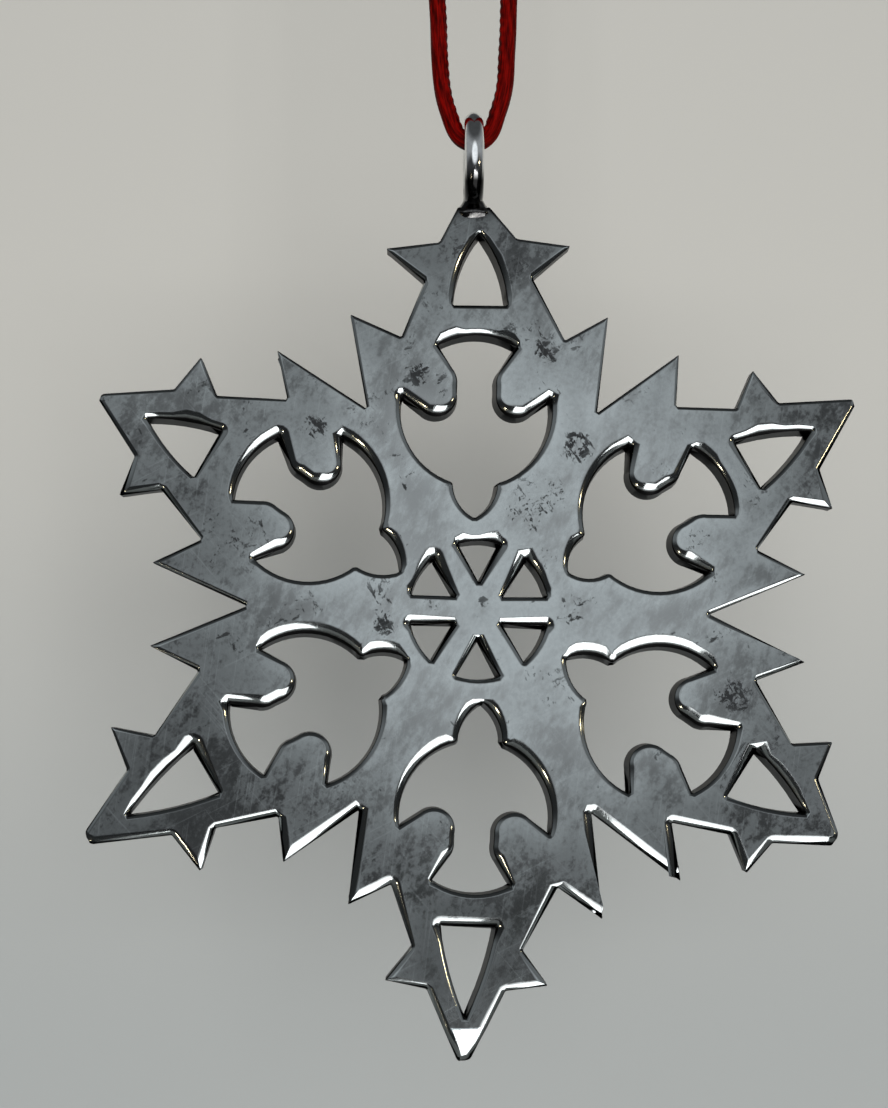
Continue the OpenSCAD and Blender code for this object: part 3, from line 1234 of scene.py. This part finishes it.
@dataclass
class WireRing:
    """The round wire ring, spun from a circle.

    Attributes:
        node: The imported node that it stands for.
        finish: Its finish.
        wire_steps: Faces round the wire.
        ring_steps: Faces round the ring.
    """

    node: str
    finish: Material
    wire_steps: int = 32
    ring_steps: int = 120

    def build(self) -> Object:
        """Builds the ring.

        Returns:
            The finished piece.
        """
        low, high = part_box(self.node)
        middle = 0.5 * (low + high)
        wire = 0.5 * (high.x - low.x)
        crown = middle + Vector((0.0, 0.0, 0.5 * (high.z - low.z) - wire))
        bm = bmesh.new()
        placed = Matrix.Translation(crown) @ Matrix.Rotation(0.5 * math.pi, 4, "X")
        bmesh.ops.create_circle(bm, segments=self.wire_steps, radius=wire, matrix=placed)
        bmesh.ops.spin(
            bm,
            geom=bm.verts[:] + bm.edges[:],
            cent=middle,
            axis=(1.0, 0.0, 0.0),
            angle=2.0 * math.pi,
            steps=self.ring_steps,
            use_merge=True,
        )
        bmesh.ops.remove_doubles(bm, verts=bm.verts, dist=MERGE_DISTANCE)
        bmesh.ops.recalc_face_normals(bm, faces=bm.faces)
        made = piece_from(bm, "ring", self.finish, ROUND_ANGLE)
        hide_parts(self.node)
        return made


@dataclass
class SolderJoint:
    """The dark solder that holds the ring, a lumpy mound that runs down over the plate's tip.

    Attributes:
        node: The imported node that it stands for.
        finish: Its finish.
        sections: Height above the seat, half width and half depth of each level, from the top down.
        squareness: The power that flattens its front and sides where it lies on the plate, 1 when round.
        square_from: Heights above the seat between which it turns from round to flattened.
        lump: Height of its lumps.
        lump_scale: How many there are, per metre.
        turn_steps: Faces round the mound.
        level_gap: Height of its rows of faces.
    """

    node: str
    finish: Material
    sections: tuple[Triple, ...] = (
        (1.25, 0.06, 0.06), (1.2, 0.5, 0.5), (1.05, 0.78, 0.78), (0.8, 0.9, 0.95), (0.5, 1.06, 1.05),
        (0.2, 1.28, 1.18), (0.0, 1.48, 1.32), (-0.2, 1.6, 1.46), (-0.4, 1.62, 1.5), (-0.55, 1.58, 1.46),
        (-0.75, 1.5, 1.37), (-0.95, 1.38, 1.27), (-1.05, 1.2, 1.18), (-1.12, 0.8, 1.0), (-1.15, 0.06, 0.06),
    )
    squareness: float = 0.6
    square_from: Pair = (0.4, -0.5)
    lump: float = 0.05
    lump_scale: float = 1400.0
    turn_steps: int = 56
    level_gap: float = 0.06

    def build(self) -> Object:
        """Builds the solder.

        Returns:
            The finished piece.
        """
        low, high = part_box(self.node)
        seat = Vector((0.5 * (low.x + high.x), 0.5 * (low.y + high.y), low.z))
        levels = smooth_route([Vector(level) for level in self.sections], self.level_gap)
        last = len(levels) - 1
        bm = bmesh.new()
        bmesh.ops.create_grid(bm, x_segments=self.turn_steps, y_segments=last, size=1.0)
        for vert in bm.verts:
            height, half_width, half_depth = levels[round(0.5 * (vert.co.y + 1.0) * last)]
            angle = math.pi * (vert.co.x + 1.0)
            top, bottom = self.square_from
            flattened = min(max((top - height) / (top - bottom), 0.0), 1.0)
            power = 1.0 + (self.squareness - 1.0) * flattened
            across, ahead = (math.copysign(abs(c) ** power, c) for c in (math.cos(angle), math.sin(angle)))
            spot = Vector((half_width * across, half_depth * ahead, height))
            vert.co = seat + spot * MM
        close_tube(bm, self.turn_steps)
        for vert in bm.verts:
            vert.co += vert.normal * self.lump * MM * noise.noise(vert.co * self.lump_scale)
        made = piece_from(bm, "solder", self.finish, ROUND_ANGLE)
        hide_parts(self.node)
        return made


def smooth_route(points: list[Vector], gap: float) -> list[Vector]:
    """Evenly spaced points on a smooth curve through the given ones.

    Args:
        points: The points to pass through.
        gap: The distance between two new points.

    Returns:
        The new points, with both ends kept.
    """
    dense: list[Vector] = []
    cuts = 24
    last = len(points) - 1
    for k in range(last):
        before, start = points[max(k - 1, 0)], points[k]
        end, after = points[k + 1], points[min(k + 2, last)]
        for i in range(cuts):
            t = i / cuts
            slope_a, slope_b = 0.5 * (end - before), 0.5 * (after - start)
            dense.append(
                start * (2 * t**3 - 3 * t**2 + 1)
                + slope_a * (t**3 - 2 * t**2 + t)
                + end * (3 * t**2 - 2 * t**3)
                + slope_b * (t**3 - t**2)
            )
    dense.append(points[last])
    total = sum((b - a).length for a, b in zip(dense, dense[1:]))
    count = max(2, round(total / gap))
    wanted, walked, result = total / count, 0.0, [dense[0]]
    for a, b in zip(dense, dense[1:]):
        length = (b - a).length
        while length > 0.0 and walked + length >= wanted * len(result) and len(result) < count:
            result.append(a.lerp(b, (wanted * len(result) - walked) / length))
        walked += length
    result.append(dense[-1])
    return result


@dataclass
class SatinCord:
    """The braided loop with its knot and two tails.

    Attributes:
        finish: The satin.
        diameter: The cord's diameter.
        loop_half: The right half of the loop as x and z, from the bottom of its bend up to the knot.
        tail_half: The right tail as x and z, above the knot.
        knot_turns: Turns of the strand that wraps the knot.
        knot_steps: Points of its route.
        knot_heights: Where its turns start and end.
        knot_reach: Radius of its ends inside the knot and of its turns.
        knot_tuck: Points of its route at each end that lead inside.
        knot_start: Angle where its turns start, in radians.
        knot_wave: How far it rises and falls in each turn.
        bump: Height of the braid's relief.
        stitch: Length of a stitch along the cord's sides.
        stitches_round: Strands round the cord.
        stitch_shares: The relief's mean height, and how far stitches and twist change it.
        twist_length: Stitches to one turn of the twist's phase.
        blunt_end: Squared share of the radius that is left at the cord's very ends.
        sharp_angle: Edges that turn by more than this many degrees stay crisp.
        ring_gap: Distance between two rings of the mesh.
        ring_faces: Faces round the cord.
    """

    finish: Material
    diameter: float = 1.6
    loop_half: tuple[Pair, ...] = (
        (0.0, -49.7), (0.5, -49.64), (0.98, -49.4), (1.4, -48.98), (1.7, -48.47), (1.93, -47.85),
        (2.16, -47.1), (2.38, -46.4), (2.59, -45.6), (2.76, -44.7), (2.89, -43.6), (3.0, -41.5),
        (3.1, -39.0), (3.25, -35.0), (3.3, -31.0),
        (3.2, -27.0), (2.95, -23.0), (2.6, -19.0), (2.15, -15.0), (1.7, -11.0), (1.3, -7.0),
        (0.95, -4.0), (0.8, -2.0), (0.8, 0.0),
    )
    tail_half: tuple[Pair, ...] = (
        (0.8, 2.5), (0.8, 5.0), (0.8, 6.0), (1.0, 7.0), (1.4, 8.0), (2.0, 9.0), (2.8, 10.0),
    )
    knot_turns: float = 2.4
    knot_steps: int = 44
    knot_heights: Pair = (1.0, 4.0)
    knot_reach: Pair = (0.5, 1.72)
    knot_tuck: int = 5
    knot_start: float = -0.6
    knot_wave: float = 0.18
    bump: float = 0.11
    stitch: float = 0.85
    stitches_round: int = 5
    stitch_shares: Triple = (0.55, 0.3, 0.15)
    twist_length: float = 6.0
    blunt_end: float = 0.12
    sharp_angle: float = 70.0
    ring_gap: float = 0.12
    ring_faces: int = 32

    def build(self) -> list[Object]:
        """Builds the cord and its knot.

        Returns:
            The cord with its tails, and the knot.
        """
        right = [Vector((x, 0.0, z)) * MM for x, z in self.loop_half + self.tail_half]
        left = [Vector((-p.x, 0.0, p.z)) for p in reversed(right[1:])]
        route = smooth_route(left + right, self.ring_gap * MM)
        cord = self._sweep("cord_loop", route)
        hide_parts("hanging_cord", "cord_tails")
        knot = self._sweep("knot", smooth_route(self._knot_route(), self.ring_gap * MM))
        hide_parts("cord_knot")
        return [cord, knot]

    def _knot_route(self) -> list[Vector]:
        """The way of the strand that wraps the two others, from inside the knot out and back in.

        Returns:
            Its points, in metres.
        """
        steps, tuck = self.knot_steps, self.knot_tuck
        low, high = self.knot_heights
        inside, reach = self.knot_reach
        points = []
        for k in range(-tuck, steps + tuck + 1):
            share = min(max(k / steps, 0.0), 1.0)
            outside = min(k + tuck, steps + tuck - k, tuck) / tuck
            radius = inside + (reach - inside) * math.sin(0.5 * math.pi * outside)
            angle = 2.0 * math.pi * self.knot_turns * k / steps + self.knot_start
            height = low + (high - low) * share + self.knot_wave * math.sin(angle)
            points.append(Vector((radius * math.cos(angle), radius * math.sin(angle), height)) * MM)
        return points

    def _sweep(self, name: str, route: list[Vector]) -> Object:
        """A braided tube with rounded ends along a route.

        Args:
            name: The piece's name.
            route: Evenly spaced points, in metres.

        Returns:
            The tube.
        """
        bm = bmesh.new()
        relief = bm.verts.layers.float.new("relief")
        along = bm.loops.layers.uv.new("along")
        radius = 0.5 * self.diameter * MM
        gap = (route[1] - route[0]).length
        last = len(route) - 1
        bmesh.ops.create_grid(bm, x_segments=self.ring_faces, y_segments=last, size=1.0, calc_uvs=True)
        for face in bm.faces:
            for loop in face.loops:
                loop[along].uv.y *= last * gap / MM
        rows: list[list[BMVert]] = [[] for _ in route]
        for vert in bm.verts:
            rows[round(0.5 * (vert.co.y + 1.0) * last)].append(vert)
        side = Vector((0.0, 1.0, 0.0))
        for k, (point, row) in enumerate(zip(route, rows)):
            heading = (route[min(k + 1, last)] - route[max(k - 1, 0)]).normalized()
            side = (side - heading * side.dot(heading)).normalized()
            across = heading.cross(side)
            end = min(k, last - k) * gap
            taper = math.sqrt(min(1.0, self.blunt_end + end / radius))
            for vert in row:
                angle = math.pi * (vert.co.x + 1.0)
                height = self._stitch_height(angle, k * gap)
                reach = taper * (radius + (height - 1.0) * self.bump * MM)
                vert.co = point + (side * math.cos(angle) + across * math.sin(angle)) * reach
                vert[relief] = height
        close_tube(bm, self.ring_faces)
        return piece_from(bm, name, self.finish, self.sharp_angle)

    def _stitch_height(self, angle: float, length: float) -> float:
        """Height of the braid's relief, from 0 between the stitches to 1 on top of them.

        Args:
            angle: The direction round the cord, in radians.
            length: The distance along it, in metres.

        Returns:
            The height.
        """
        turns = 2.0 * math.pi * length / (self.stitch * MM)
        scallop = math.cos(turns + angle) * max(math.sin(angle), 0.0) ** 2
        twist = math.cos(self.stitches_round * angle + turns / self.twist_length)
        mean, stitch_share, twist_share = self.stitch_shares
        return mean + stitch_share * scallop + twist_share * twist


@dataclass(frozen=True)
class StudioLamp:
    """A square lamp that the camera doesn't see.

    Attributes:
        name: Its name.
        place: Its place.
        size: Its side.
        power: Its power in watts.
        colour: Its colour.
        in_gloss: True where shiny surfaces mirror it.
        on_matt: True where it lights matt surfaces.
    """

    name: str
    place: Triple
    size: float
    power: float
    colour: Triple
    in_gloss: bool = True
    on_matt: bool = False

    def build(self, target: Vector) -> None:
        """Puts the lamp into the scene.

        Args:
            target: The point that it faces, in millimetres.
        """
        lamp = bpy.data.lights.new(self.name, "AREA")
        lamp.size = self.size * MM
        lamp.energy = self.power
        lamp.color = self.colour
        made = bpy.data.objects.new(self.name, lamp)
        point_at(made, Vector(self.place), target)
        made.visible_camera = False
        made.visible_glossy = self.in_gloss
        made.visible_diffuse = self.on_matt


@dataclass
class Studio:
    """The pale sweep behind and under the ornament, the lamps and the camera.

    Attributes:
        paper: The sweep's finish.
        wall_y: Where the wall behind the plate lies along Y.
        floor_z: Height of the floor.
        half_width: Half of the sweep's width.
        front_y: Where the floor ends in front.
        wall_top: Height of the wall's top.
        bend: Radius of the bend between floor and wall.
        bend_steps: Faces round it.
        target: The point that the camera looks at.
        azimuth: The camera's direction round the ornament, in degrees.
        elevation: The camera's height above the horizon, in degrees.
        distance: The camera's distance from the target.
        frame_height: Height of the picture at the target.
        clip: Distances between which the camera sees, in metres.
        dome: Brightness of the dome below, ahead and overhead.
        dome_colour: Its colour.
        dome_edge: Height where the dome starts to grow lighter, and where it stops.
        dome_top: Height where the dome starts to grow darker again, and where it stops.
        glow: Brightness of the soft wide light in front.
        glow_way: Where that light lies, seen from the plate.
        glow_shape: How narrow the light is along each axis.
        glow_edge: Distance from there where the light ends, and where it is full.
        lamps: A fill from the front, a white panel low on the right and two small warm lamps.
    """

    paper: Material
    wall_y: float = 100.0
    floor_z: float = -280.0
    half_width: float = 320.0
    front_y: float = -140.0
    wall_top: float = 40.0
    bend: float = 60.0
    bend_steps: int = 16
    target: Triple = (-2.6, 0.0, -86.2)
    azimuth: float = -1.0
    elevation: float = -4.0
    distance: float = 190.0
    frame_height: float = 96.8
    clip: Pair = (0.01, 10.0)
    dome: Triple = (0.04, 0.3, 0.06)
    dome_colour: Triple = (0.95, 1.0, 1.04)
    dome_edge: Pair = (-0.14, 0.24)
    dome_top: Pair = (0.42, 0.8)
    glow: float = 1.0
    glow_way: Triple = (0.03, -1.0, 0.12)
    glow_shape: Triple = (0.85, 0.0, 1.1)
    glow_edge: Pair = (0.62, 0.34)
    lamps: tuple[StudioLamp, ...] = (
        StudioLamp("front_fill", (25.0, -560.0, -120.0), 240.0, 3.0, (1.0, 0.99, 0.97), False, True),
        StudioLamp("white_panel", (39.0, -93.0, -203.0), 132.0, 0.26, (1.0, 1.0, 1.0)),
        StudioLamp("warm_right", (250.0, -150.0, -100.0), 24.0, 0.05, (1.0, 0.80, 0.48)),
        StudioLamp("warm_low_left", (-150.0, -110.0, -215.0), 18.0, 0.03, (1.0, 0.82, 0.55)),
    )

    def build(self) -> None:
        """Builds the sweep, the lamps, the world and the camera."""
        self._sweep()
        self._world()
        for lamp in self.lamps:
            lamp.build(Vector(self.target))
        self._camera()

    def _sweep(self) -> None:
        """A strip of paper from the floor up the wall, bent between them."""
        bm = bmesh.new()
        corners = [
            (-self.half_width, self.front_y, self.floor_z),
            (-self.half_width, self.wall_y, self.floor_z),
            (-self.half_width, self.wall_y, self.wall_top),
        ]
        points = [bm.verts.new(Vector(c) * MM) for c in corners]
        line = [bm.edges.new(pair) for pair in zip(points, points[1:])]
        made = bmesh.ops.extrude_edge_only(bm, edges=line)["geom"]
        fresh = [v for v in made if isinstance(v, BMVert)]
        bmesh.ops.translate(bm, verts=fresh, vec=(2.0 * self.half_width * MM, 0.0, 0.0))
        fold = [e for e in bm.edges if len(e.link_faces) == 2]
        round_edges(bm, fold, self.bend * MM, self.bend_steps)
        bm.normal_update()
        inside = Vector((0.0, -1.0, 1.0))
        away = [f for f in bm.faces if f.normal.dot(inside) < 0.0]
        bmesh.ops.reverse_faces(bm, faces=away)
        made = piece_from(bm, "paper_sweep", self.paper, ROUND_ANGLE)

    def _world(self) -> None:
        """A plain grey dome, darker below and overhead, with a soft wide light in front."""
        world = bpy.data.worlds.new("studio")
        world.use_nodes = True
        world.node_tree.nodes.clear()
        sheet = NodeSheet(world.node_tree)
        where = sheet.add("TexCoord").outputs["Generated"]
        height = sheet.height(where)
        below, ahead, overhead = self.dome
        rise = sheet.span(sheet.ramp(height, *self.dome_edge), below, ahead)
        fall = sheet.span(sheet.ramp(height, *self.dome_top), ahead, overhead)
        above = sheet.math("MINIMUM", rise, fall)
        apart = sheet.vector("SUBTRACT", where, self.glow_way)
        shaped = sheet.vector("MULTIPLY", apart.outputs["Vector"], self.glow_shape)
        far = sheet.add("VectorMath", operation="LENGTH")
        sheet.join(shaped.outputs["Vector"], far.inputs[0])
        front = sheet.span(sheet.ramp(far.outputs["Value"], *self.glow_edge), 0.0, self.glow)
        ground = sheet.add("Background")
        ground.inputs["Color"].default_value = (*self.dome_colour, 1.0)
        sheet.join(sheet.math("MAXIMUM", above, front), ground.inputs["Strength"])
        output = sheet.add("OutputWorld")
        sheet.join(ground.outputs["Background"], output.inputs["Surface"])
        bpy.context.scene.world = world

    def _camera(self) -> None:
        """The camera at the photograph's angle."""
        data = bpy.data.cameras.new("camera")
        data.sensor_fit = "AUTO"
        data.lens = data.sensor_width * self.distance / self.frame_height
        data.clip_start, data.clip_end = self.clip
        made = bpy.data.objects.new("camera", data)
        turn, rise = math.radians(self.azimuth), math.radians(self.elevation)
        back = Vector((math.sin(turn) * math.cos(rise), -math.cos(turn) * math.cos(rise), math.sin(rise)))
        target = Vector(self.target)
        point_at(made, target + back * self.distance, target)
        bpy.context.scene.camera = made


def main() -> None:
    """Builds each sub-assembly in order."""
    logging.basicConfig(level=logging.INFO, format="%(name)s: %(message)s")
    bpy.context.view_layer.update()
    tarnish, lines = Tarnish(PLATE_STAINS).group(), PolishingLines().group()
    plate_silver = SilverFinish(
        "plate_silver",
        bright=(0.338, 0.362, 0.363),
        dull=(0.235, 0.245, 0.245),
        spread=0.5,
        cloud_size=1.5,
        shine=0.11,
        haze=0.25,
        wave=0.012,
        lines=0.001,
        on_flats=True,
        scorch_and_shade=(-55.6, -57.4),
        # The darkening far from the middle, the deep spots and the less darkened spot are partly tarnish
        # and partly painted shade.
        middle=PLATE_MIDDLE,
        tarnish_and_shade_reach=(11.0, 30.0),
        deep=((-29.0, -109.0, 14.0), (0.3, -121.5, 9.0)),
        less_darkened=((-25.0, -71.5, 10.5),),
    ).material(tarnish, lines)
    wire_silver = SilverFinish(
        "wire_silver",
        bright=(0.88, 0.89, 0.89),
        dull=(0.6, 0.6, 0.6),
        spread=0.45,
        cloud_size=1.6,
        shine=0.08,
        haze=0.18,
        wave=0.004,
        lines=0.0004,
        grain=0.4,
        # Painted shade: the ring's lower half darker.
        scorch_and_shade=(-53.9, -52.5),
    ).material(tarnish, lines)
    dark_solder = SilverFinish(
        "dark_solder",
        bright=(0.42, 0.41, 0.39),
        dull=(0.05, 0.05, 0.05),
        spread=0.5,
        cloud_size=2.0,
        shine=0.07,
        haze=0.15,
        wave=0.01,
        lines=0.0008,
    ).material(tarnish, lines)
    satin = SatinFinish(
        "red_satin", deep=(0.022, 0.0003, 0.0002), bright=(0.205, 0.0025, 0.0012), shine=0.45
    ).material()
    paper = PaperFinish(
        "pale_paper", colour=(0.55, 0.537, 0.50), shaded_low_colour=(0.405, 0.418, 0.41)
    ).material()
    plate_rounds = {
        Side.FRONT: EdgeRound(openings=(0.42, 1.25), outline=(0.32, 1.1), depth=0.58, power=1.9, steps=10),
        Side.BACK: EdgeRound(openings=(0.45, 0.45), outline=(0.45, 0.45), depth=0.75, power=2.0, steps=5),
    }
    plate = SnowflakePlate("snowflake_plate", plate_silver, plate_rounds).build()
    ring = WireRing("hanging_ring", wire_silver).build()
    solder = SolderJoint("ring_solder", dark_solder).build()
    pieces = [
        (plate, Body.ORNAMENT, "silver_plate"),
        (ring, Body.ORNAMENT, "silver_wire"),
        (solder, Body.ORNAMENT, "solder"),
        *((piece, Body.CORD, "red_cord") for piece in SatinCord(satin).build()),
    ]
    for piece, body, slot in pieces:
        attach(piece, body.value)
        LOG.info("%s: %d faces", piece.name, len(piece.data.polygons))
    Studio(paper).build()
    bpy.context.scene.view_settings.view_transform = "Standard"


if __name__ == "__main__":
    main()
